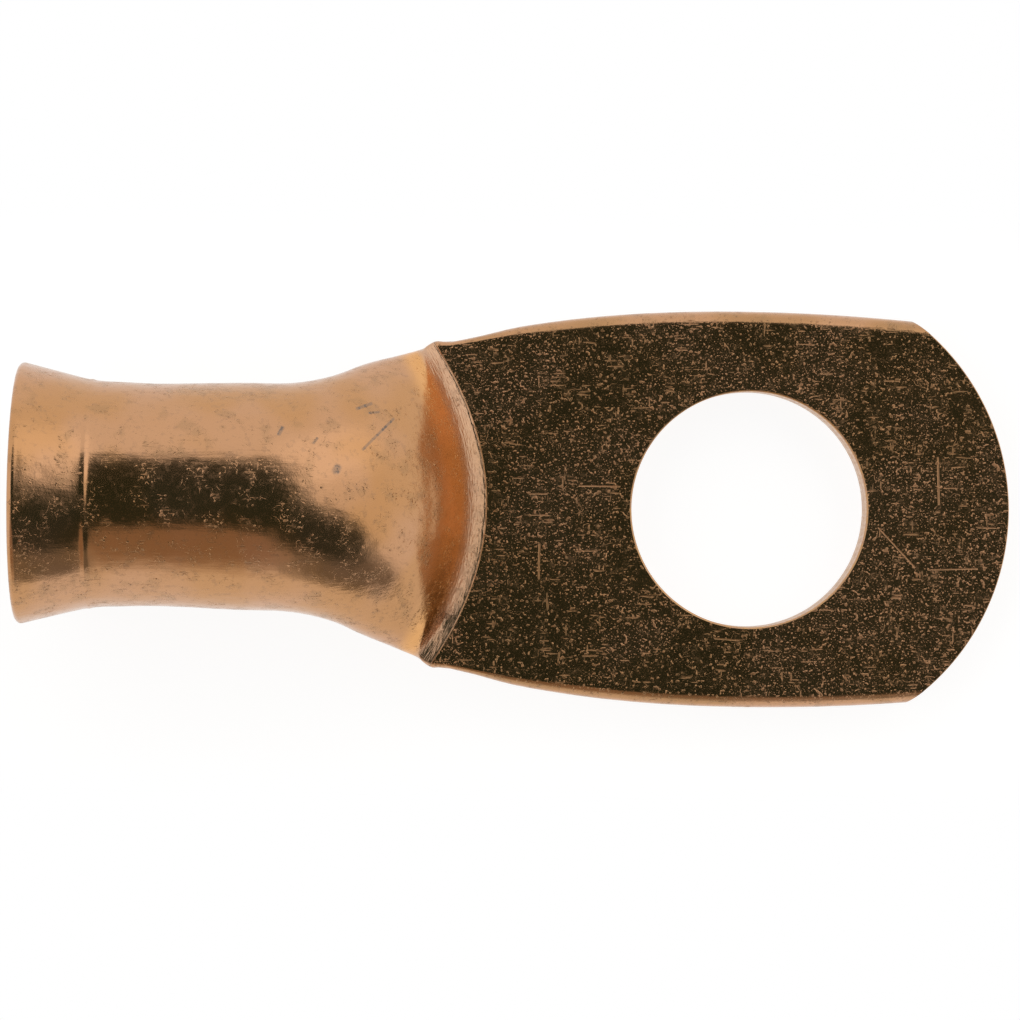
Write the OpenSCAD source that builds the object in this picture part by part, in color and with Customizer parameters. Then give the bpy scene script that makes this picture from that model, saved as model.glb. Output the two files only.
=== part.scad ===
// Copper cable lug formed from one length of round tube: a flared wire socket, a pressed
// neck and a flat palm with a stud hole.  The origin is the middle of the stud hole on the
// palm's underside.  +X runs from the socket to the palm's end, +Z is the stepped side.

/* [Barrel] */
// Inside diameter of the wire socket
bore_d = 10.25; // [7:0.05:16]
// Wall thickness of the tube
wall = 1.25; // [0.8:0.05:2]
// Length of the round barrel, from the rim to where the neck begins
barrel_length = 13.25; // [10:0.25:40]

/* [Mouth] */
// How far the rim stands out from the barrel, on the radius
flare_rise = 1.1; // [0.5:0.05:2]
// Half angle of the flare's cone
flare_angle = 14.3; // [8:0.1:25]
// Radius that blends the cone into the barrel
flare_blend = 7.8; // [3:0.1:15]
// Rounding of the rim's outer and inner edge
rim_round = 0.3; // [0.1:0.05:0.5]
// Height of the ridge that the flaring punch leaves on the blend of the cone
bead_height = 0.04; // [0.02:0.01:0.15]
// Width of that ridge at its foot
bead_width = 0.4; // [0.2:0.05:1]

/* [Neck] */
// Distance from the stud hole to the middle of the crease
crease_distance = 15.05; // [11:0.05:30]
// How far the ends of the crease lie behind its middle
crease_bow = 3.2; // [2.2:0.1:4]
// Radius of the shoulder where the top turns down, on the centre line
top_shoulder = 12.5; // [6:0.5:14]
// Slope of the pressed face on the centre line
top_slope = 64; // [45:1:68]
// Radius of the shoulder along the two sides
side_shoulder = 5.5; // [3:0.5:10]
// Slope along the two sides
side_slope = 54; // [45:1:65]
// How far beyond the barrel's end the sides begin to spread
side_lag = 0.9; // [0:0.1:2]
// Radius of the fillet at the foot of the slope
foot_radius = 2; // [0.4:0.1:3]
// Slope that the fillet still has where it meets the palm at the crease
crease_slope = 18; // [5:1:30]
// Step from the barrel's lowest line up to the palm's underside
palm_raise = 1; // [0:0.1:3]

/* [Palm] */
// Thickness of the pressed palm
palm_thickness = 2.3; // [1.6:0.05:4]
// Width of the palm beside the stud hole
palm_width = 22.75; // [19:0.05:27]
// Half angle at which the palm spreads from the crease
spread_angle = 15.5; // [8:0.5:24]
// How much narrower the palm is at its end corners
end_taper = 0.8; // [0:0.1:3]
// Distance from the stud hole to the tip
tip_distance = 14.95; // [11:0.05:30]
// How far the curved end stands out beyond its corners
end_bow = 5.65; // [2:0.05:7.5]
// Depth of the folded edge's rounding at the ends of the crease
corner_round = 0.4; // [0.2:0.05:0.8]
// Length over which the folded edge goes over to a half round
corner_run = 8; // [3:0.5:12]
// Width of the hairline groove where the two layers meet at the cut end
seam_width = 0.12; // [0.05:0.01:0.3]
// Depth of that groove
seam_depth = 0.15; // [0.05:0.01:0.4]

/* [Stud hole] */
// Diameter of the stud hole
stud_hole_d = 13.5; // [5:0.1:17]
// Broken edge around the stud hole on the side that the punch enters
hole_edge = 0.12; // [0.05:0.01:0.3]

/* [Hidden] */

// How far a cut runs past the face that it opens
over = 1;
// How far the pressed skin reaches back into the barrel, and how far it lies within it
skin_lap = 0.5;
skin_inset = 0.01;
// Height of the slit that is left where the tube's inside closes
slit = 0.06;
// Length between the stations of a curve, as a share of the curve
arc_steps = 14;
slope_steps = 3;
foot_steps = 6;
palm_steps = 12;
blend_steps = 6;
rim_steps = 4;
// Point of the flare's blend on which the punch's ridge stands
bead_at = 2;
// Share of the drop above the fillet that the shoulder's arc may take
shoulder_room = 0.95;
// Facets of a quarter of the section, and how many of them stay on a fold's round edge
quarter = 16;
fold_facets = 7;
round_facets = 96;
// Share of the width that is flat where the fold has all its facets but those on the flat
full_flat = 0.85;
// Part of the slope after which the upper edge of the section turns crisp
crisp_from = 0.75;

barrel_od = bore_d + 2 * wall;
axis_z = barrel_od / 2 - palm_raise;
top_drop = barrel_od - palm_raise - palm_thickness;
seam_z = palm_thickness / 2;

// Drop of the shoulder's arc and of the foot's fillet on a slope of angle a
function shoulder_drop(r, a) = r * (1 - cos(a));
function foot_drop(r, a) = r * (cos(crease_slope) - cos(a));

// Distance that a profile has run once it has dropped by d out of total: an arc of radius r
// down to the slope a, the straight slope, and a fillet of radius f that ends at the crease
function run_at(d, total, r, a, f) =
    let (arc_end = shoulder_drop(r, a))
    let (foot_start = total - foot_drop(f, a))
    d < arc_end ? sqrt(max(0, r * r - (r - d) * (r - d)))
    : d < foot_start ? r * sin(a) + (d - arc_end) / tan(a)
    : let (left = acos(min(1, cos(a) + (d - foot_start) / f)))
      r * sin(a) + (foot_start - arc_end) / tan(a) + f * (sin(a) - sin(left));

// The drops at which the stations of the top's profile lie
function drops(total, r, f) =
    let (a = top_slope)
    let (arc_end = shoulder_drop(r, a))
    let (foot_start = total - foot_drop(f, a))
    concat(
        [for (i = [1:arc_steps]) shoulder_drop(r, a * i / arc_steps)],
        [for (i = [1:slope_steps]) arc_end + (foot_start - arc_end) * i / slope_steps],
        [for (i = [1:foot_steps]) foot_start + (total - foot_start) * i / foot_steps]
    );

function ease(t) = t * t * (3 - 2 * t);

// Width of a tube of diameter d pressed to height h at a kept perimeter.  oval is 1 while
// the section is an ellipse and 0 once it has two flat faces and round folds.
function pressed_width(d, h, oval) =
    (90 / 180 * PI * (d - h / 2) + (2 - PI / 2) * h / 2 * (1 - oval)) / (1 - (1 - PI / 4) * oval);

shoulder_most = (top_drop - foot_drop(foot_radius, top_slope)) / (1 - cos(top_slope));
shoulder_r = min(top_shoulder, shoulder_room * shoulder_most);
neck_run = run_at(top_drop, top_drop, shoulder_r, top_slope, foot_radius);
neck_x = -crease_distance - neck_run;
mouth_x = neck_x - barrel_length;
side_crease_x = neck_x + side_lag + run_at(top_drop, top_drop, side_shoulder, side_slope, foot_radius);
crease_lean = crease_bow - (-crease_distance - side_crease_x);

end_width = palm_width - end_taper;
end_radius = (end_bow * end_bow + end_width * end_width / 4) / (2 * end_bow);
end_centre_x = tip_distance - end_radius;
end_corner_x = tip_distance - end_bow;

// Length of the flare along the axis: its cone and the curve that blends it into the barrel
blend_rise = flare_blend * (1 - cos(flare_angle));
flare_run = (flare_rise - blend_rise) / tan(flare_angle) + flare_blend * sin(flare_angle);

// One closed section of the pressed tube as a ring of points.  side_x and mid_x are the
// stations of its side and of its top centre line, lean tips its upper corners backwards,
// low and high are its heights, w is its width and fold the depth of its rounded edge.
function ring(side_x, mid_x, lean, low, high, w, fold) =
    let (flat = max(0, w / 2 - fold))
    let (facets = quarter - (quarter - fold_facets) * min(1, 2 * flat / w / full_flat))
    [for (i = [0:4 * quarter - 1])
        let (k = i % (2 * quarter) <= quarter ? i % (2 * quarter) : 2 * quarter - i % (2 * quarter))
        let (side = i <= quarter || i > 3 * quarter ? 1 : -1)
        let (up = i <= 2 * quarter ? 1 : -1)
        let (turn = min(90, 90 * k / facets))
        let (along = k <= facets ? flat : flat * (quarter - k) / (quarter - facets))
        let (y = side * (along + fold * cos(turn)))
        let (across = y / (w / 2))
        let (shift = (mid_x - side_x) * (1 - across * across) - lean * sin(turn) * across * across)
        [
            side_x + (up > 0 ? shift : 0),
            y,
            (low + high) / 2 + up * (high - low) / 2 * sin(turn)
        ]
    ];

// A section of the neck once its top has dropped by d out of total.  inset is 0 for the
// outside and the wall for the inside, and end_low is the height of its underside at the
// crease.  Only the outside has upper corners that turn crisp and lean back.
function neck_ring(d, total, inset, end_low) =
    let (t = d / total)
    let (low = inset - palm_raise + (end_low - inset + palm_raise) * ease(t))
    let (high = barrel_od - palm_raise - inset - d)
    let (oval = (1 - t) * (1 - t))
    let (w = pressed_width(barrel_od - 2 * inset, high - low, oval))
    let (round_fold = (high - low) / 2 + (w - high + low) / 2 * oval)
    let (outside = inset > 0 ? 0 : 1)
    let (crisp = outside * ease(max(0, t - crisp_from) / (1 - crisp_from)))
    let (fold = round_fold + (min(round_fold, corner_round) - round_fold) * crisp)
    ring(
        neck_x + side_lag + run_at(d, total, side_shoulder - inset, side_slope, foot_radius + inset),
        neck_x + run_at(d, total, shoulder_r - inset, top_slope, foot_radius + inset),
        outside * crease_lean * t * t,
        low,
        high,
        w,
        fold
    );

// Half width of the palm at x: it spreads from the crease to the stud hole along a cubic,
// and narrows from there to the end corners along a parabola
crease_half = pressed_width(barrel_od, palm_thickness, 0) / 2;
function palm_half(x) =
    let (u = (x - side_crease_x) / -side_crease_x)
    x < 0
        ? crease_half * (1 - ease(u)) + palm_width / 2 * ease(u)
            - tan(spread_angle) * side_crease_x * u * (1 - u) * (1 - u)
        : palm_width / 2 - end_taper / 2 * pow(x / end_corner_x, 2);

function palm_ring(u) =
    let (side_x = side_crease_x + (tip_distance + over - side_crease_x) * u)
    let (mid_x = -crease_distance + (tip_distance + over + crease_distance) * u)
    let (rounded = ease(min(1, (side_x - side_crease_x) / corner_run)))
    ring(
        side_x,
        mid_x,
        crease_lean * (1 - u) * (1 - u),
        0,
        palm_thickness,
        2 * palm_half(side_x),
        corner_round + (palm_thickness / 2 - corner_round) * rounded
    );

// A round section at x, used where the pressed skin starts inside the barrel
function round_ring(x, r) = ring(x, x, 0, axis_z - r, axis_z + r, 2 * r, r);

// Closes a row of rings to a solid, its facets split alike on both sides of the middle.
// Each end is covered by a strip from its lower to its upper half, so that an end that
// isn't flat is closed as well.
module loft(rings) {
    n = 4 * quarter;
    last = (len(rings) - 1) * n;
    polyhedron(
        points = [for (r = rings) each r],
        faces = concat(
            [for (s = [0:len(rings) - 2]) for (i = [0:n - 1])
                let (a = s * n + i)
                let (b = s * n + (i + 1) % n)
                each floor(i / quarter) % 2 == 0
                    ? [[a, b + n, b], [a, a + n, b + n]]
                    : [[a, a + n, b], [a + n, b + n, b]]
            ],
            end_strip(0, n, false),
            end_strip(last, n, true)
        )
    );
}

function end_strip(first, n, far) =
    [for (i = [0:n / 2 - 1])
        let (a = first + i)
        let (b = first + i + 1)
        let (c = first + (n - i) % n)
        let (d = first + n - i - 1)
        each [
            if (i > 0) far ? [a, c, b] : [a, b, c],
            if (i < n / 2 - 1) far ? [c, d, b] : [c, b, d]
        ]
    ];

// Turns a profile of [radius, distance from the mouth] about the barrel's axis
module turned(profile) {
    translate([mouth_x, 0, axis_z])
        rotate([0, 90, 0])
            rotate_extrude($fn = round_facets)
                polygon(profile);
}

// The curve from the cone to the straight wall, inset below the outside
function flare_curve(inset) =
    [for (i = [0:blend_steps])
        let (a = flare_angle * (1 - i / blend_steps))
        let (r = flare_blend + inset)
        [barrel_od / 2 - inset + r * (1 - cos(a)), flare_run - r * sin(a)]
    ];

// The rounded edge of the rim on the cone that meets the mouth at this radius.  side is 1
// for the outer edge and -1 for the inner one.
function rim_curve(mouth_r, side) =
    let (centre_r = mouth_r - rim_round * (tan(flare_angle) + side / cos(flare_angle)))
    let (last = side > 0 ? flare_angle : flare_angle - 180)
    [for (i = [0:rim_steps])
        let (a = -90 + (last + 90) * i / rim_steps)
        [centre_r + rim_round * cos(a), rim_round * (1 + sin(a))]
    ];

module barrel() {
    bead = flare_curve(0)[bead_at];
    bead_slope = flare_angle * (1 - bead_at / blend_steps);
    bead_foot = bead + bead_width / 2 * [tan(bead_slope), -1];
    turned(concat(
        [[0, 0]],
        rim_curve(barrel_od / 2 + flare_rise, 1),
        [for (p = flare_curve(0)) if (p[1] < bead_foot[1]) p],
        [bead_foot, bead + bead_height * [1, 0]],
        [for (p = flare_curve(0)) if (p[1] > bead[1] + bead_width / 2) p],
        [[barrel_od / 2, barrel_length], [0, barrel_length]]
    ));
}

module neck_and_palm() {
    r = barrel_od / 2 - skin_inset;
    loft(concat(
        [round_ring(neck_x - skin_lap, r), round_ring(neck_x, r)],
        [for (d = drops(top_drop, shoulder_r, foot_radius)) neck_ring(d, top_drop, 0, 0)],
        [for (i = [1:palm_steps]) palm_ring(i / palm_steps)]
    ));
}

// The round part of the tube's inside, from the flared mouth to the neck
module socket() {
    mouth_r = barrel_od / 2 + flare_rise - wall / cos(flare_angle);
    edge = rim_curve(mouth_r, -1);
    turned(concat(
        [[0, -over], [edge[0][0], -over]],
        edge,
        flare_curve(wall),
        [[bore_d / 2, barrel_length], [0, barrel_length]]
    ));
}

// The tube's inside in the neck, where it closes to a slit
module closing() {
    r = bore_d / 2 - skin_inset;
    total = barrel_od - palm_raise - wall - seam_z - slit;
    loft(concat(
        [round_ring(neck_x - skin_lap, r), round_ring(neck_x, r)],
        [for (d = drops(total, shoulder_r - wall, foot_radius + wall))
            neck_ring(d, total, wall, seam_z)
        ]
    ));
}

module stud_hole() {
    r = stud_hole_d / 2;
    rotate_extrude($fn = round_facets)
        polygon([
            [0, -over],
            [r, -over],
            [r, palm_thickness - hole_edge],
            [r + hole_edge + over, palm_thickness + over],
            [0, palm_thickness + over]
        ]);
}

// What the curved cut takes off the palm's end
module end_waste() {
    difference() {
        translate([end_centre_x, -palm_width, -over])
            cube([end_radius + 2 * over, 2 * palm_width, palm_thickness + 2 * over]);
        translate([end_centre_x, 0, -2 * over])
            cylinder(r = end_radius, h = palm_thickness + 4 * over, $fn = round_facets);
    }
}

// The hairline between the two pressed layers, seen on the cut end
module end_seam() {
    reach = seam_width / 2 * (seam_depth + over) / seam_depth;
    length = end_width - 2 * wall;
    intersection() {
        translate([end_centre_x, 0, seam_z])
            rotate_extrude($fn = round_facets)
                polygon([
                    [end_radius - seam_depth, 0],
                    [end_radius + over, -reach],
                    [end_radius + over, reach]
                ]);
        translate([end_centre_x, -length / 2, 0])
            cube([end_radius + over, length, palm_thickness]);
    }
}

module cable_lug() {
    color("#b87348")
        difference() {
            union() {
                barrel();
                neck_and_palm();
            }
            socket();
            closing();
            stud_hole();
            end_waste();
            end_seam();
        }
}

cable_lug();
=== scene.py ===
"""Looks of a bare copper cable lug: one tube, flared at its mouth and pressed to a palm."""

import math

import bpy
from mathutils import Matrix, Vector, noise


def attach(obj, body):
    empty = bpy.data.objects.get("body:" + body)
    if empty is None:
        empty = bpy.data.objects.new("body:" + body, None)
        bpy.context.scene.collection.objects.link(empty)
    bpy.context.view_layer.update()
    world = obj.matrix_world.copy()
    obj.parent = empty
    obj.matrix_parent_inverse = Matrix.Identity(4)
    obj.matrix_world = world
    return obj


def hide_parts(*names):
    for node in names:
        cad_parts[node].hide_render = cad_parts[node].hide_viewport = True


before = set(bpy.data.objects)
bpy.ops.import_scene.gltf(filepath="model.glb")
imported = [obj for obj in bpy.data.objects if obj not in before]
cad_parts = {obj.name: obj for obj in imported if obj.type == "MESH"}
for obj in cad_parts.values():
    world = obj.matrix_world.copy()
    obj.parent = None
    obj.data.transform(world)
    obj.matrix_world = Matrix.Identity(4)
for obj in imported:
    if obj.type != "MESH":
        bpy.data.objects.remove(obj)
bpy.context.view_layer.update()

MM = 0.001

# ---------------------------------------------------------------- sizes, in millimetres
# The lug's own dimensions, as in the part's source.  The frame's origin is the middle of
# the stud hole on the palm's underside, with +X towards the palm's tip and +Z up.
# Slopes are measured from the barrel's direction.
BORE = 10.25
WALL = 1.25
BARREL = 13.25
FLARE_RISE = 1.1
FLARE_ANGLE = math.radians(14.3)
FLARE_BLEND = 7.8
RIM_ROUND = 0.3
CREASE = 15.05
CREASE_BOW = 3.2
TOP_SHOULDER = 12.5
TOP_SLOPE = math.radians(64)
SIDE_SHOULDER = 5.5
SIDE_SLOPE = math.radians(54)
SIDE_LAG = 0.9
FOOT = 2.0
CREASE_SLOPE = math.radians(18)
PALM_RAISE = 1.0
PALM = 2.3
PALM_WIDTH = 22.75
SPREAD = math.radians(15.5)
END_TAPER = 0.8
TIP = 14.95
END_BOW = 5.65
CORNER = 0.4
CORNER_RUN = 8.0
# The folded edges are a little flatter than a half round
FOLD_SHARE = 0.72
SLIT = 0.06
STUD_HOLE = 13.5

OD = BORE + 2 * WALL
AXIS_Z = OD / 2 - PALM_RAISE
DROP = OD - PALM_RAISE - PALM
SEAM_Z = PALM / 2
OVER = 1.0

# The ridge that the flaring punch leaves on the cone, and its distance from the mouth
BEAD_X = 4.1
BEAD_HEIGHT = 0.035
BEAD_WIDTH = 0.13

# Facets of a quarter of the section, how many of them a fold keeps on its round edge, and
# the flat share of the width from which on it keeps no more
QUARTER = 48
FOLD_FACETS = 20
FULL_FLAT = 0.85
# The share of the drop from which on the neck's folded edges sharpen towards the crease
CRISP_FROM = 0.75

# Numbers of rings along the lug: inside, around the rim, outside
CLOSING_STEPS = (22, 3, 8)
BORE_STEPS = 6
INNER_FLARE_STEPS = 24
RIM_STEPS = 8
FLARE_STEPS = 88
BARREL_STEPS = 14
NECK_STEPS = (48, 8, 22)
PALM_STEPS = 48


# ---------------------------------------------------------------- the form of the lug
def ease(t):
    t = min(1.0, max(0.0, t))
    return t * t * (3 - 2 * t)


def run_at(drop, total, radius, slope, foot):
    """How far a pressed profile has run once it has dropped: a shoulder, a slope and a foot."""
    arc_end = radius * (1 - math.cos(slope))
    foot_start = total - foot * (math.cos(CREASE_SLOPE) - math.cos(slope))
    if drop < arc_end:
        return math.sqrt(max(0.0, radius**2 - (radius - drop) ** 2))
    if drop < foot_start:
        return radius * math.sin(slope) + (drop - arc_end) / math.tan(slope)
    left = math.acos(min(1.0, math.cos(slope) + (drop - foot_start) / foot))
    straight = (foot_start - arc_end) / math.tan(slope)
    return radius * math.sin(slope) + straight + foot * (math.sin(slope) - math.sin(left))


def drops(total, radius, foot, steps):
    """The drops at which the stations of the top's profile lie, with the numbers of steps
    on its shoulder, its slope and its foot."""
    arc_steps, slope_steps, foot_steps = steps
    arc_end = radius * (1 - math.cos(TOP_SLOPE))
    foot_start = total - foot * (math.cos(CREASE_SLOPE) - math.cos(TOP_SLOPE))
    turns = [TOP_SLOPE * i / arc_steps for i in range(1, arc_steps + 1)]
    slope = [i / slope_steps for i in range(1, slope_steps + 1)]
    curve = [i / foot_steps for i in range(1, foot_steps + 1)]
    return (
        [radius * (1 - math.cos(turn)) for turn in turns]
        + [arc_end + (foot_start - arc_end) * t for t in slope]
        + [foot_start + (total - foot_start) * t for t in curve]
    )


def pressed_width(d, h, oval):
    """Width of a tube of diameter d pressed to height h with its perimeter kept; oval is 1
    for an ellipse-like section and 0 for flats between two half rounds."""
    flat = math.pi / 2 * (d - h / 2) + (2 - math.pi / 2) * h / 2 * (1 - oval)
    return flat / (1 - (1 - math.pi / 4) * oval)


NECK_X = -CREASE - run_at(DROP, DROP, TOP_SHOULDER, TOP_SLOPE, FOOT)
MOUTH_X = NECK_X - BARREL
SIDE_CREASE = NECK_X + SIDE_LAG + run_at(DROP, DROP, SIDE_SHOULDER, SIDE_SLOPE, FOOT)
LEAN = CREASE_BOW - (-CREASE - SIDE_CREASE)
CREASE_HALF = pressed_width(OD, PALM, 0) / 2
END_WIDTH = PALM_WIDTH - END_TAPER
END_RADIUS = (END_BOW**2 + END_WIDTH**2 / 4) / (2 * END_BOW)
END_X = TIP - END_RADIUS
FLARE_RUN = (FLARE_RISE - FLARE_BLEND * (1 - math.cos(FLARE_ANGLE))) / math.tan(FLARE_ANGLE)
BEND_X = FLARE_RUN + FLARE_BLEND * math.sin(FLARE_ANGLE)


def ring(side_x, mid_x, lean, low, high, width, fold):
    """One section of the pressed tube as a closed ring of points.  Its edges lie at side_x
    and the middle of its top at mid_x; lean draws the upper corners back, and fold is how
    far in from each side the round edge reaches."""
    flat = max(0.0, width / 2 - fold)
    facets = QUARTER - (QUARTER - FOLD_FACETS) * min(1.0, 2 * flat / width / FULL_FLAT)
    points = []
    for i in range(4 * QUARTER):
        k = i % (2 * QUARTER)
        k = k if k <= QUARTER else 2 * QUARTER - k
        side = 1 if i <= QUARTER or i > 3 * QUARTER else -1
        up = 1 if i <= 2 * QUARTER else -1
        turn = min(math.pi / 2, math.pi / 2 * k / facets)
        along = flat if k <= facets else flat * (QUARTER - k) / (QUARTER - facets)
        y = side * (along + fold * math.cos(turn))
        across = y / (width / 2)
        shift = (mid_x - side_x) * (1 - across**2) - lean * math.sin(turn) * across**2
        z = (low + high) / 2 + up * (high - low) / 2 * math.sin(turn)
        points.append(Vector((side_x + (shift if up > 0 else 0), y, z)))
    return points


def round_ring(x, radius):
    return ring(x, x, 0, AXIS_Z - radius, AXIS_Z + radius, 2 * radius, radius)


def neck_ring(drop, total, inset, end_low):
    """A section of the neck; inset is 0 for the outside and the wall for the inside."""
    t = drop / total
    low = inset - PALM_RAISE + (end_low - inset + PALM_RAISE) * ease(t)
    high = OD - PALM_RAISE - inset - drop
    oval = (1 - t) ** 2
    width = pressed_width(OD - 2 * inset, high - low, oval)
    fold = (high - low) / 2 + (width - high + low) / 2 * oval
    outside = 0 if inset else 1
    crisp = outside * ease((t - CRISP_FROM) / (1 - CRISP_FROM))
    fold += (min(fold, CORNER) - fold) * crisp
    foot = FOOT + inset
    side_x = NECK_X + SIDE_LAG + run_at(drop, total, SIDE_SHOULDER - inset, SIDE_SLOPE, foot)
    mid_x = NECK_X + run_at(drop, total, TOP_SHOULDER - inset, TOP_SLOPE, foot)
    return ring(side_x, mid_x, outside * LEAN * t * t, low, high, width, fold)


def palm_half(x):
    """Half width of the palm: a cubic from the crease to the hole, then a parabola."""
    if x < 0:
        u = (x - SIDE_CREASE) / -SIDE_CREASE
        spread = -math.tan(SPREAD) * SIDE_CREASE * u * (1 - u) ** 2
        return CREASE_HALF * (1 - ease(u)) + PALM_WIDTH / 2 * ease(u) + spread
    return PALM_WIDTH / 2 - END_TAPER / 2 * (x / (TIP - END_BOW)) ** 2


def palm_ring(u):
    """A section of the palm, with u going from 0 at the crease to 1 past its end."""
    side_x = SIDE_CREASE + (TIP + OVER - SIDE_CREASE) * u
    mid_x = -CREASE + (TIP + OVER + CREASE) * u
    fullness = ease((side_x - SIDE_CREASE) / CORNER_RUN)
    fold = CORNER + (PALM / 2 * FOLD_SHARE - CORNER) * fullness
    return ring(side_x, mid_x, LEAN * (1 - u) ** 2, 0, PALM, 2 * palm_half(side_x), fold)


def flare_rings(inset, steps):
    """Rings of the cone and of the curve that blends it into the barrel, from the mouth;
    inset is 0 for the outside and the wall for the inside."""
    rings = []
    mouth_r = OD / 2 + FLARE_RISE - inset / math.cos(FLARE_ANGLE)
    start = RIM_ROUND * (1 + math.sin(FLARE_ANGLE))
    blend = FLARE_BLEND + inset
    bend_start = BEND_X - blend * math.sin(FLARE_ANGLE)
    for i in range(1, steps + 1):
        s = start + (BEND_X - start) * i / steps
        turn = math.asin(min(math.sin(FLARE_ANGLE), max(0.0, BEND_X - s) / blend))
        if s < bend_start:
            radius = mouth_r - s * math.tan(FLARE_ANGLE)
        else:
            radius = OD / 2 - inset + blend * (1 - math.cos(turn))
        if not inset:
            radius += BEAD_HEIGHT * math.exp(-(((s - BEAD_X) / BEAD_WIDTH) ** 2))
        rings.append(round_ring(MOUTH_X + s, radius))
    return rings


def rim_rings(inset, side):
    """Rings around the rounded edge of the rim, from the mouth's plane on to the cone; side
    is 1 for the outer edge and -1 for the inner one."""
    mouth_r = OD / 2 + FLARE_RISE - inset / math.cos(FLARE_ANGLE)
    centre = mouth_r - RIM_ROUND * (math.tan(FLARE_ANGLE) + side / math.cos(FLARE_ANGLE))
    last = FLARE_ANGLE if side > 0 else FLARE_ANGLE - math.pi
    rings = []
    for i in range(RIM_STEPS + 1):
        a = -math.pi / 2 + (last + math.pi / 2) * i / RIM_STEPS
        x = MOUTH_X + RIM_ROUND * (1 + math.sin(a))
        rings.append(round_ring(x, centre + RIM_ROUND * math.cos(a)))
    return rings


def lug_rings():
    """All rings of the lug's one skin, from where its inside closes, out of the mouth and
    along its outside to the end of the palm, and the number of the first one outside."""
    closing = OD - PALM_RAISE - WALL - SEAM_Z - SLIT
    straight = NECK_X - MOUTH_X - BEND_X
    inner_drops = drops(closing, TOP_SHOULDER - WALL, FOOT + WALL, CLOSING_STEPS)
    inside = [neck_ring(d, closing, WALL, SEAM_Z) for d in reversed(inner_drops)]
    for i in range(BORE_STEPS):
        inside.append(round_ring(NECK_X - straight * i / BORE_STEPS, BORE / 2))
    inside += list(reversed(flare_rings(WALL, INNER_FLARE_STEPS)))
    rim = list(reversed(rim_rings(WALL, -1))) + rim_rings(0, 1)
    outside = flare_rings(0, FLARE_STEPS)
    for i in range(1, BARREL_STEPS + 1):
        outside.append(round_ring(MOUTH_X + BEND_X + straight * i / BARREL_STEPS, OD / 2))
    outside += [neck_ring(d, DROP, 0, 0) for d in drops(DROP, TOP_SHOULDER, FOOT, NECK_STEPS)]
    outside += [palm_ring(i / PALM_STEPS) for i in range(1, PALM_STEPS + 1)]
    return inside + rim + outside, len(inside + rim)


def end_strip(first, far):
    """Covers an end ring by a strip from its lower to its upper half."""
    n = 4 * QUARTER
    faces = []
    for i in range(n // 2):
        a, b = first + i, first + i + 1
        c, d = first + (n - i) % n, first + n - i - 1
        if i:
            faces.append((a, c, b) if far else (a, b, c))
        if i < n // 2 - 1:
            faces.append((c, d, b) if far else (c, b, d))
    return faces


def new_object(name, points, faces):
    """A mesh object from points in millimetres."""
    mesh = bpy.data.meshes.new(name)
    mesh.from_pydata([tuple(p * MM) for p in points], [], faces)
    mesh.validate()
    obj = bpy.data.objects.new(name, mesh)
    bpy.context.scene.collection.objects.link(obj)
    return obj


# ---------------------------------------------------------------- how the made piece differs
# The tube is drawn in by a share of its radius, which grows from the neck's start over a run
# along the barrel, and from WAIST_X on falls to a part of it over a run towards the mouth
WAIST = 0.0225
WAIST_RUN = 6.0
WAIST_X = -33.5
WAIST_END = 3.0
WAIST_LOST = 0.5
# How far the barrel lies beside the palm's middle line, where it starts to and over what run
BARREL_ASIDE = 0.3
ASIDE_FROM = -16.8
ASIDE_RUN = 6.7
# The press drew the sides in by this share of their width, between these places and over
# this run at each, and pushed the crease's two ends out to small ears
DRAWN_IN = 0.013
DRAWN_FROM = -23.0
DRAWN_TO = -13.0
DRAWN_RUN = 3.0
EAR_X = -18.0
EAR = 0.02
EAR_LENGTH = 0.5
# Low spots of the upper side as (x, y) to (x, y), half width and depth, and the height over
# which they come in
PRESS_MARKS = (
    ((-17.4, -6.6), (-18.9, -8.6), 0.33, 0.28),
    ((-18.4, 7.6), (-17.6, 6.4), 0.4, 0.12),
)
MARKS_ABOVE = PALM * 0.6
MARKS_FADE = 0.8
# Slow waves of the drawn tube: how close they follow each other, in waves a millimetre, and
# their height.  They come in over the first rings of the outside and end at the crease.
WAVES = ((0.12, 0.035), (0.35, 0.012))
WAVES_RINGS = 8
WAVES_END = -15.5
WAVES_FADE = 2.0


def settle(p):
    """Moves a point of the ideal form to where it lies on the made piece."""
    waist = WAIST * ease((NECK_X - p.x) / WAIST_RUN)
    waist *= 1 - WAIST_LOST * ease((WAIST_X - p.x) / WAIST_END)
    y = p.y * (1 - waist)
    z = AXIS_Z + (p.z - AXIS_Z) * (1 - waist)
    drawn = DRAWN_IN * ease((p.x - DRAWN_FROM) / DRAWN_RUN)
    drawn *= ease((DRAWN_TO - p.x) / DRAWN_RUN)
    ear = EAR * math.exp(-(((p.x - EAR_X) / EAR_LENGTH) ** 2))
    y *= 1 - drawn + ear
    upper = ease((z - MARKS_ABOVE) / MARKS_FADE)
    for (ax, ay), (bx, by), width, depth in PRESS_MARKS:
        away = to_segment(p.x, y, ax, ay, bx, by)
        z -= depth * upper * math.exp(-((away / width) ** 2))
    y += BARREL_ASIDE * ease((ASIDE_FROM - p.x) / ASIDE_RUN)
    return Vector((p.x, y, z))


def to_segment(x, y, ax, ay, bx, by):
    """How far (x, y) lies from the line from (ax, ay) to (bx, by)."""
    t = ((x - ax) * (bx - ax) + (y - ay) * (by - ay)) / ((bx - ax) ** 2 + (by - ay) ** 2)
    t = min(1.0, max(0.0, t))
    return math.hypot(x - ax - t * (bx - ax), y - ay - t * (by - ay))


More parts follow.
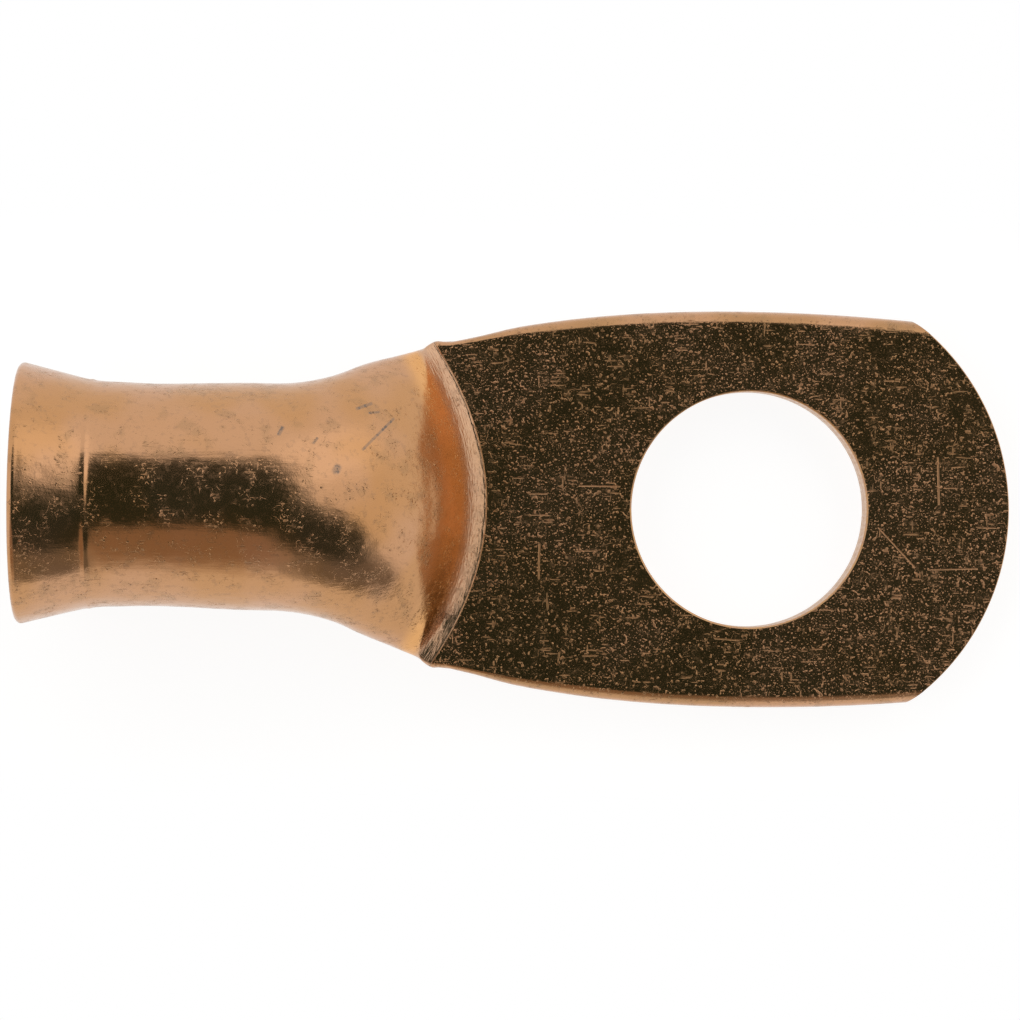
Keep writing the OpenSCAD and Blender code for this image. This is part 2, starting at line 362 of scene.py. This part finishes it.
def roughen(points, first, n):
    """Gives the outside, which starts at point first, the slow waves of a drawn tube; n is
    the number of points of a ring."""
    count = len(points)
    moved = []
    for i in range(first + n, count - n):
        p = points[i]
        ring_start = (i // n) * n
        around = points[ring_start + (i + 1) % n] - points[ring_start + (i - 1) % n]
        along = points[i + n] - points[i - n]
        normal = around.cross(along)
        if normal.length < 1e-9:
            moved.append(p)
            continue
        fade = ease((i - first) / n / WAVES_RINGS) * ease((WAVES_END - p.x) / WAVES_FADE)
        lift = sum(height * noise.noise(p * close) for close, height in WAVES)
        moved.append(p - normal.normalized() * lift * fade)
    return points[: first + n] + moved + points[count - n :]


def lug_skin():
    """The lug before its hole and its end are cut."""
    rings, outside = lug_rings()
    n = 4 * QUARTER
    points = [settle(p) for r in rings for p in r]
    points = roughen(points, outside * n, n)
    faces = []
    for s in range(len(rings) - 1):
        for i in range(n):
            a, b = s * n + i, s * n + (i + 1) % n
            faces.append((a, a + n, b + n, b))
    faces += end_strip(0, False) + end_strip((len(rings) - 1) * n, True)
    return new_object("lug", points, faces)


# ---------------------------------------------------------------- cuts through the palm
# How far the cuts rolled the edges over, and how deep the seam of the two layers shows
EDGE_ROUND = 0.12
END_ROUND = 0.06
HOLE_SEAM = 0.04
END_SEAM = 0.07
CLOSED_SEAM = 0.002
SEAM_FADE = 1.5
# The rolled edges turn by ROLL_STEPS steps of ROLL_STEP, and the cutters reach this far
# past the palm's faces, its sides and its end
ROLL_STEP = math.radians(10)
ROLL_STEPS = 7
CUT_OVER = 0.375
SIDE_OVER = 1.0
END_OVER = 6.0
HOLE_STEPS = 192
END_STEPS = 120


def cut_profile(edge, seam):
    """The wall of a cut through the palm as (distance into the palm's metal, height).  Its
    edges are rolled over, and the seam of the two layers is a fine groove."""
    turns = [ROLL_STEP * i for i in range(ROLL_STEPS + 1)]
    upper = [(edge * (1 - math.cos(a)), PALM - edge + edge * math.sin(a)) for a in turns]
    lower = [(into, PALM - z) for into, z in reversed(upper)]
    groove = [(0, SEAM_Z - seam), (seam, SEAM_Z), (0, SEAM_Z + seam)]
    slope = math.tan(turns[-1])
    outer = (upper[-1][0] + CUT_OVER * slope, PALM + CUT_OVER)
    below = (outer[0], -CUT_OVER)
    return [below] + lower + groove + upper + [outer]


def stud_cutter():
    """A plug that fills the stud hole, flared where the hole's edges are rolled over."""
    profile = cut_profile(EDGE_ROUND, HOLE_SEAM)
    points, faces = [], []
    for i in range(HOLE_STEPS):
        a = 2 * math.pi * i / HOLE_STEPS
        for into, z in profile:
            r = STUD_HOLE / 2 + into
            points.append(Vector((r * math.cos(a), r * math.sin(a), z)))
    m = len(profile)
    for i in range(HOLE_STEPS):
        j = (i + 1) % HOLE_STEPS
        for k in range(m - 1):
            faces.append((i * m + k, j * m + k, j * m + k + 1, i * m + k + 1))
    faces.append([i * m for i in reversed(range(HOLE_STEPS))])
    faces.append([i * m + m - 1 for i in range(HOLE_STEPS)])
    return new_object("stud_cutter", points, faces)


def end_cutter():
    """What the curved shear takes off the palm's end."""
    half = math.asin(min(1.0, (PALM_WIDTH / 2 + SIDE_OVER) / END_RADIUS))
    far = END_RADIUS + END_OVER
    points, faces = [], []
    for i in range(END_STEPS + 1):
        a = -half + 2 * half * i / END_STEPS
        y = END_RADIUS * math.sin(a)
        seam = END_SEAM * ease((END_WIDTH / 2 - WALL - abs(y)) / SEAM_FADE)
        profile = cut_profile(END_ROUND, max(seam, CLOSED_SEAM))
        loop = [(END_RADIUS - into, z) for into, z in profile]
        loop += [(far, loop[-1][1]), (far, loop[0][1])]
        m = len(loop)
        points += [Vector((END_X + r * math.cos(a), r * math.sin(a), z)) for r, z in loop]
    for i in range(END_STEPS):
        for k in range(m):
            q = (k + 1) % m
            faces.append((i * m + k, i * m + q, (i + 1) * m + q, (i + 1) * m + k))
    faces.append(list(range(m)))
    faces.append([END_STEPS * m + k for k in reversed(range(m))])
    return new_object("end_cutter", points, faces)


def cut(obj, cutters):
    """Takes the cutters off the object, whose new faces keep the cutters' material."""
    for cutter in cutters:
        mod = obj.modifiers.new("cut", "BOOLEAN")
        mod.operation = "DIFFERENCE"
        mod.solver = "EXACT"
        mod.material_mode = "TRANSFER"
        mod.object = cutter
    graph = bpy.context.evaluated_depsgraph_get()
    mesh = bpy.data.meshes.new_from_object(obj.evaluated_get(graph), depsgraph=graph)
    obj.modifiers.clear()
    obj.data = mesh
    for cutter in cutters:
        bpy.data.objects.remove(cutter)


# ---------------------------------------------------------------- materials
class Nodes:
    """Short forms for the nodes of one material or of the world."""

    def __init__(self, owner):
        owner.use_nodes = True
        self.tree = owner.node_tree
        self.tree.nodes.clear()

    def put(self, socket, value):
        """Links a socket to the input, or sets the input to a value."""
        if isinstance(value, bpy.types.NodeSocket):
            self.tree.links.new(value, socket)
        elif value is not None:
            socket.default_value = value

    def add(self, kind, inputs=None, **settings):
        node = self.tree.nodes.new("ShaderNode" + kind)
        for name, value in settings.items():
            setattr(node, name, value)
        for name, value in (inputs or {}).items():
            self.put(node.inputs[name], value)
        return node

    def math(self, operation, a, b=None):
        return self.add("Math", {0: a, 1: b}, operation=operation).outputs[0]

    def vector(self, operation, a, b=None):
        node = self.add("VectorMath", {0: a}, operation=operation)
        self.put(node.inputs["Scale"] if operation == "SCALE" else node.inputs[1], b)
        return node.outputs["Value" if operation in ("DOT_PRODUCT", "LENGTH") else "Vector"]

    def total(self, *values):
        result = values[0]
        for value in values[1:]:
            result = self.math("ADD", result, value)
        return result

    def product(self, *values):
        result = values[0]
        for value in values[1:]:
            result = self.math("MULTIPLY", result, value)
        return result

    def step(self, value, low, high, to_low=0.0, to_high=1.0):
        """Goes smoothly from to_low to to_high as the value goes from low to high."""
        inputs = {"Value": value, 1: low, 2: high, 3: to_low, 4: to_high}
        return self.add("MapRange", inputs, interpolation_type="SMOOTHSTEP").outputs[0]

    def band(self, value, rises, full, falls, gone):
        """1 from full to falls, and smoothly down to 0 at rises and at gone."""
        return self.product(self.step(value, rises, full), self.step(value, falls, gone, 1, 0))

    def noise(self, place, scale, detail, rough=0.5):
        inputs = {"Vector": place, "Scale": scale, "Detail": detail, "Roughness": rough}
        return self.add("TexNoise", inputs).outputs["Fac"]

    def line(self, place, scale, width, detail):
        """Thin winding lines, 1 on the line and 0 off it."""
        away = self.math("SUBTRACT", self.noise(place, scale, detail), 0.5)
        return self.step(self.math("ABSOLUTE", away), 0, width, 1, 0)

    def mix(self, factor, a, b):
        """The colour a where the factor is 0 and b where it is 1."""
        node = self.add("Mix", data_type="RGBA")
        self.put(node.inputs["Factor"], factor)
        for socket, value in zip((node.inputs[6], node.inputs[7]), (a, b)):
            self.put(socket, (*value, 1) if isinstance(value, tuple) else value)
        return node.outputs[2]

    def blend(self, factor, a, b):
        """The number a where the factor is 0 and b where it is 1."""
        node = self.add("Mix", data_type="FLOAT")
        self.put(node.inputs["Factor"], factor)
        self.put(node.inputs[2], a)
        self.put(node.inputs[3], b)
        return node.outputs[0]

    def along_x(self, value):
        return self.add("CombineXYZ", {"X": value}).outputs[0]

    def stretched(self, place, x, y, z):
        return self.vector("MULTIPLY", place, (x, y, z))

    def stroke(self, flat, start, end, width):
        """A scratch seen from above, from start to end in millimetres, and its half width."""
        run_x, run_y = end[0] - start[0], end[1] - start[1]
        length = math.hypot(run_x, run_y)
        offset = self.vector("SUBTRACT", flat, (*start, 0))
        along = self.vector("DOT_PRODUCT", offset, (run_x / length, run_y / length, 0))
        across = self.vector("DOT_PRODUCT", offset, (-run_y / length, run_x / length, 0))
        body = self.step(self.math("ABSOLUTE", across), width * STROKE_CORE, width, 1, 0)
        return self.product(body, self.band(along, 0, width, length - width, length))

    def metal(self, color, rough, height):
        """Ends the material as bare metal with a relief in millimetres."""
        bump = self.add("Bump", {"Height": height, "Distance": MM, "Strength": 1.0})
        inputs = {"Base Color": color, "Metallic": 1.0, "Roughness": rough}
        shader = self.add("BsdfPrincipled", inputs)
        self.put(shader.inputs["Normal"], bump.outputs[0])
        self.add("OutputMaterial", {"Surface": shader.outputs[0]})


# The share of a stroke's half width that is full
STROKE_CORE = 0.4

# Colours of the tube's skin and of its sheared metal.  Some carry painted light: the orange
# is a painted reflection on the lower slope, the pale one a painted highlight on its foot,
# and the tarnish colour is also laid on the palm's top as painted shade.
COPPER = (0.556, 0.290, 0.130)
PINK = (0.580, 0.315, 0.168)
TARNISH_AND_SHADE = (0.34, 0.21, 0.11)
STAIN = (0.30, 0.20, 0.14)
GREY = (0.20, 0.17, 0.15)
PAINTED_ORANGE_REFLECTION = (0.80, 0.41, 0.15)
PAINTED_PALE_HIGHLIGHT = (0.66, 0.45, 0.32)
SHEARED = (0.62, 0.36, 0.17)
SHEARED_PINK = (0.56, 0.33, 0.20)

# Bands along the crease, in millimetres beyond it: where each comes in, is full, falls off
# and is gone.  They are the lower slope, which gets a painted orange reflection, its ribbed
# foot, which also gets a painted pale highlight, and the lip at the crease.
PAINTED_REFLECTION_BAND = (-2.9, -1.9, -1.5, -0.9)
FOOT_BAND = (-1.6, -1.0, -0.06, 0)
LIP_BAND = (-0.16, -0.05, -0.02, 0.03)
# Heights at which a point starts to count as on the upper side
TOP_FROM = PALM * 0.7
TOP_FULL = PALM * 0.95

# The least roughness of the skin, and the relief of its patterns in millimetres
POLISH = 0.17
PEEL_RELIEF = 0.016
STREAK_RELIEF = 0.006
TUBE_GRAIN = 0.003
PALM_GRAIN = 0.006
LINE_DEPTH = 0.012
DOT_RELIEF = 0.014
SPECK_RELIEF = 0.022
MARK_DEPTH = 0.01
RIB_RELIEF = 0.05
LIP_RELIEF = 0.03
# Those of the sheared metal
BURNISH_RELIEF = 0.010
TEAR_RELIEF = 0.008

# Scratches and dark marks seen from above: from (x, y) to (x, y) and half width
SCRATCHES = (
    ((-1.9, -7.4), (-0.4, -7.5), 0.05),
    ((-12.0, -2.1), (-12.0, -4.2), 0.06),
    ((10.3, -3.3), (13.2, -3.2), 0.04),
    ((10.8, 3.2), (10.9, 0.4), 0.06),
    ((-9.8, 1.2), (-7.4, 1.2), 0.05),
    ((7.4, -0.9), (9.6, -3.2), 0.04),
)
DARK_MARKS = (
    ((-22.2, 2.9), (-20.4, 4.8), 0.10),
    ((-21.9, 5.0), (-21.2, 5.1), 0.09),
    ((-23.7, 1.5), (-23.4, 2.2), 0.30),
    ((-22.6, 5.2), (-21.6, 5.6), 0.12),
    ((-26.8, 3.6), (-26.5, 4.2), 0.14),
    ((-24.9, 3.2), (-24.6, 3.6), 0.10),
    ((-29.9, 5.0), (-29.8, 5.1), 0.12),
)


def strokes(g, flat, rows, where):
    """All the rows' strokes as one mask, which is kept where the last argument is 1."""
    mask = g.stroke(flat, *rows[0])
    for row in rows[1:]:
        mask = g.math("MAXIMUM", mask, g.stroke(flat, *row))
    return g.product(mask, where)


def copper_skin():
    """The drawn and pressed copper of the tube."""
    material = bpy.data.materials.new("copper_skin")
    g = Nodes(material)
    place = g.vector("SCALE", g.add("TexCoord").outputs["Object"], 1 / MM)
    x, y, z = g.add("SeparateXYZ", {0: place}).outputs
    # How far a point lies beyond the crease, which bows back towards its two ends
    bow = g.product(g.math("POWER", g.math("DIVIDE", y, CREASE_HALF), 2), CREASE_BOW)
    beyond = g.total(x, CREASE, bow)
    top = g.step(z, TOP_FROM, TOP_FULL)
    palm = g.product(g.step(beyond, -0.02, 0.05), top)
    flat = g.stretched(place, 1, 1, 0)

    lengthwise = g.stretched(place, 0.11, 1, 1)
    crosswise = g.stretched(place, 1, 0.11, 1)
    streaks = g.noise(lengthwise, scale=4.5, detail=1, rough=0.6)
    peel = g.noise(place, scale=1.3, detail=0)
    grain = g.noise(place, scale=10, detail=1, rough=0.7)
    patches = g.noise(place, scale=0.22, detail=1, rough=0.55)
    clouds = g.noise(place, scale=0.9, detail=2, rough=0.65)
    scuffs = g.step(g.noise(place, scale=2.6, detail=2, rough=0.7), 0.52, 0.68)

    often = g.step(clouds, 0.44, 0.60)
    seldom = g.step(clouds, 0.52, 0.64)
    hairs = g.line(place, scale=1.5, width=0.008, detail=1)
    winding = g.product(hairs, g.step(grain, 0.42, 0.6), often)
    long_cuts = g.step(g.noise(lengthwise, scale=9, detail=0), 0.70, 0.80)
    long_cuts = g.product(long_cuts, often)
    cross_cuts = g.step(g.noise(crosswise, scale=9, detail=0), 0.72, 0.82)
    cross_cuts = g.product(cross_cuts, seldom)
    specks = g.step(g.noise(place, scale=5.5, detail=0), 0.70, 0.80)
    glints = g.step(grain, 0.63, 0.77)

    scratch = strokes(g, flat, SCRATCHES, top)
    uneven = g.step(scuffs, 0.0, 0.2, 0.55, 1)
    mark = g.product(strokes(g, flat, DARK_MARKS, top), uneven)

    # The press left fine ribs along the foot of the slope, and a sharp lip at the crease
    foot = g.product(g.band(beyond, *FOOT_BAND), top)
    rib_places = g.vector("ADD", g.stretched(flat, 0.25, 0.9, 0), g.along_x(g.product(beyond, 4.5)))
    ribs = g.noise(rib_places, scale=2.2, detail=1)
    lip = g.product(g.band(beyond, *LIP_BAND), top)
    # The lower slope, where an orange reflection is painted into the colour
    slope = g.product(g.band(beyond, *PAINTED_REFLECTION_BAND), top)

    color = g.mix(g.step(patches, 0.40, 0.62), COPPER, PINK)
    color = g.mix(g.product(g.step(clouds, 0.52, 0.70), 0.30), color, TARNISH_AND_SHADE)
    color = g.mix(g.product(g.step(scuffs, 0.3, 1.0), 0.16), color, STAIN)
    # The palm's top is darkened in patches, partly tarnish and partly painted shade of the dark
    # room above that it mirrors
    palm_shade_and_tarnish = g.step(patches, 0.35, 0.6, 0.45, 0.1)
    color = g.mix(g.product(palm, palm_shade_and_tarnish), color, TARNISH_AND_SHADE)
    # Painted reflection: the lower slope is tinted orange
    color = g.mix(g.product(slope, 0.85), color, PAINTED_ORANGE_REFLECTION)
    # Painted highlight: the foot of the slope is paled for the bright room it mirrors; its ribs are
    # tool marks in the relief
    color = g.mix(g.product(foot, 0.5), color, PAINTED_PALE_HIGHLIGHT)
    color = g.mix(g.product(mark, 0.85), color, GREY)

    long_cuts = g.product(long_cuts, g.blend(palm, 0.5, 1.0))
    cuts = g.math("MAXIMUM", long_cuts, g.product(cross_cuts, palm))
    lines = g.math("MAXIMUM", g.math("MAXIMUM", winding, cuts), scratch)
    dots = g.math("MAXIMUM", specks, g.product(glints, g.blend(palm, seldom, 1.0)))
    busy = g.blend(palm, g.product(often, 0.5), g.step(patches, 0.38, 0.58, 0.35, 1.0))

    # Scuffs, lines and dots are rougher than the burnished metal around them
    rough = g.total(POLISH, g.product(scuffs, 0.10), g.product(lines, 0.28))
    rough = g.total(rough, g.product(dots, busy, 0.35), g.product(mark, 0.25))
    rough = g.total(rough, g.product(foot, 0.06))
    rough = g.total(rough, g.product(often, 0.05), g.product(lines, seldom, 0.12))

    height = g.total(
        g.product(peel, PEEL_RELIEF),
        g.product(streaks, STREAK_RELIEF),
        g.product(grain, g.blend(palm, TUBE_GRAIN, PALM_GRAIN)),
        g.product(lines, -LINE_DEPTH),
        g.product(dots, busy, DOT_RELIEF),
        g.product(specks, g.blend(palm, seldom, 1.0), SPECK_RELIEF),
        g.product(mark, -MARK_DEPTH),
        g.product(ribs, foot, RIB_RELIEF),
        g.product(lip, LIP_RELIEF),
    )
    g.metal(color, rough, height)
    return material


def sheared_copper():
    """The cut metal of the stud hole and of the palm's end."""
    material = bpy.data.materials.new("sheared_copper")
    g = Nodes(material)
    place = g.vector("SCALE", g.add("TexCoord").outputs["Object"], 1 / MM)
    burnish = g.noise(g.stretched(place, 1, 1, 0.15), scale=7, detail=3, rough=0.65)
    coarse = g.noise(place, scale=3, detail=3, rough=0.6)
    color = g.mix(g.step(coarse, 0.4, 0.65), SHEARED, SHEARED_PINK)
    rough = g.step(burnish, 0.3, 0.7, 0.26, 0.42)
    height = g.total(g.product(burnish, BURNISH_RELIEF), g.product(coarse, TEAR_RELIEF))
    g.metal(color, rough, height)
    return material


# ---------------------------------------------------------------- the lug
# Faces that meet at more than this keep a crisp edge
SHARP = math.radians(14)
lug = lug_skin()
lug.data.materials.append(copper_skin())
shear = sheared_copper()
cutters = [stud_cutter(), end_cutter()]
for cutter in cutters:
    cutter.data.materials.append(shear)
cut(lug, cutters)
for polygon in lug.data.polygons:
    polygon.use_smooth = True
lug.data.set_sharp_from_angle(angle=SHARP)
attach(lug, "root")
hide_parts("cable_lug")

# ---------------------------------------------------------------- where it rests
# The lug lies on the lowest point of its flare and on the palm's tip, a little tilted
# Half the floor's side, in metres
FLOOR_HALF = 1.5
# Grey of the floor as it lights the lug, and of the share of it that takes the shadow as
# seen, which is lit up by a glow to white
FLOOR_GREY = 0.8
SHADE_GREY = 0.22
SHADE_GLOW = 0.9
# The glow with which the lug mirrors the floor
FLOOR_LEVEL = 1.0
# The floor is seen plain white from this far beside the lug's middle line, in millimetres,
# and its shadow fades out over the last part of the way
SHADOW_ENDS = 17.0
SHADOW_FADES = 0.8
tip_point = Vector((TIP * MM, 0, 0))
tilt = math.atan2(OD / 2 + FLARE_RISE - AXIS_Z, TIP - MOUTH_X)
table = Matrix.Translation(tip_point) @ Matrix.Rotation(-tilt, 4, "Y")


def lay_floor():
    """A white table that mirrors as white and keeps the lug's shadow."""
    mesh = bpy.data.meshes.new("floor")
    signs = ((-1, -1), (1, -1), (1, 1), (-1, 1))
    corners = [(a * FLOOR_HALF, b * FLOOR_HALF, 0) for a, b in signs]
    mesh.from_pydata(corners, [], [(0, 1, 2, 3)])
    obj = bpy.data.objects.new("floor", mesh)
    bpy.context.scene.collection.objects.link(obj)
    obj.matrix_world = table
    material = bpy.data.materials.new("white_table")
    g = Nodes(material)
    rays = g.add("LightPath").outputs
    plain = g.add("BsdfDiffuse", {"Color": (*[FLOOR_GREY] * 3, 1)}).outputs[0]
    shaded = g.add("BsdfDiffuse", {"Color": (*[SHADE_GREY] * 3, 1)}).outputs[0]
    white = g.add("Emission", {"Strength": SHADE_GLOW}).outputs[0]
    near = g.add("AddShader", {0: shaded, 1: white}).outputs[0]
    clear = g.add("Emission", {"Strength": 1.0}).outputs[0]
    axes = g.add("SeparateXYZ", {0: g.add("TexCoord").outputs["Object"]})
    beside = g.math("ABSOLUTE", axes.outputs["Y"])
    far = g.step(beside, SHADOW_ENDS * SHADOW_FADES * MM, SHADOW_ENDS * MM)
    seen = g.add("MixShader", {0: far, 1: near, 2: clear}).outputs[0]
    mirrored = g.add("Emission", {"Strength": FLOOR_LEVEL}).outputs[0]
    shiny = g.math("MAXIMUM", rays["Is Glossy Ray"], rays["Is Transmission Ray"])
    first = g.add("MixShader", {0: shiny, 1: plain, 2: mirrored}).outputs[0]
    both = g.add("MixShader", {0: rays["Is Camera Ray"], 1: first, 2: seen}).outputs[0]
    g.add("OutputMaterial", {"Surface": both})
    mesh.materials.append(material)


lay_floor()

# ---------------------------------------------------------------- camera
# It stands straight above the table; x runs along the lug from the palm's tip and y beside
# it, in millimetres, and the roll is the small turn of the picture
CAMERA_X = -28.55
CAMERA_Y = -0.24
CAMERA_HEIGHT = 220.0
CAMERA_ROLL = math.radians(0.88)
CAMERA_LENS = 133.9
CAMERA_SENSOR = 36
data = bpy.data.cameras.new("camera")
data.lens = CAMERA_LENS
data.sensor_width = CAMERA_SENSOR
camera = bpy.data.objects.new("camera", data)
bpy.context.scene.collection.objects.link(camera)
bpy.context.scene.camera = camera
stand = Matrix.Translation(Vector((CAMERA_X, CAMERA_Y, CAMERA_HEIGHT)) * MM)
camera.matrix_world = table @ stand @ Matrix.Rotation(CAMERA_ROLL, 4, "Z")

# ---------------------------------------------------------------- studio around it
# A pale room with darker parts, each a soft round area of the sky: the azimuth from +X
# towards +Y and the angle from straight up of its middle, the angles from its middle at which
# it begins and stops to fade, its colour, and how much of the room it covers
ROOM = (1.0, 0.985, 0.96)
WHITE = (1.0, 1.0, 1.0)
AREAS = (
    (45, 50, 12, 34, (1.28, 1.25, 1.20), 0.8),
    (-5, 54, 8, 30, (0.95, 0.90, 0.80), 0.8),
    (-108, 52, 12, 42, (0.30, 0.20, 0.13), 0.9),
    (-60, 80, 12, 30, (0.14, 0.13, 0.11), 0.9),
    (-46, 46, 17, 29, (0.045, 0.055, 0.045), 1.0),
    (101, 17, 18, 28, (0.045, 0.055, 0.045), 1.0),
    (-70, 10, 21, 31, (0.035, 0.048, 0.036), 1.0),
)


def build_room():
    """The room as the world's light, seen by the camera as plain white."""
    world = bpy.data.worlds.new("studio")
    bpy.context.scene.world = world
    g = Nodes(world)
    direction = g.add("TexCoord").outputs["Generated"]
    color = ROOM
    for azimuth, polar, begins, stops, tint, cover in AREAS:
        a, p = math.radians(azimuth), math.radians(polar)
        middle = (math.sin(p) * math.cos(a), math.sin(p) * math.sin(a), math.cos(p))
        near = g.vector("DOT_PRODUCT", direction, middle)
        edge, core = math.cos(math.radians(stops)), math.cos(math.radians(begins))
        color = g.mix(g.step(near, edge, core, 0, cover), color, tint)
    plain = g.mix(g.add("LightPath").outputs["Is Camera Ray"], color, WHITE)
    world.cycles.sampling_method = "NONE"
    g.add("OutputWorld", {"Surface": g.add("Background", {"Color": plain}).outputs[0]})


build_room()
bpy.context.scene.view_settings.view_transform = "Standard"
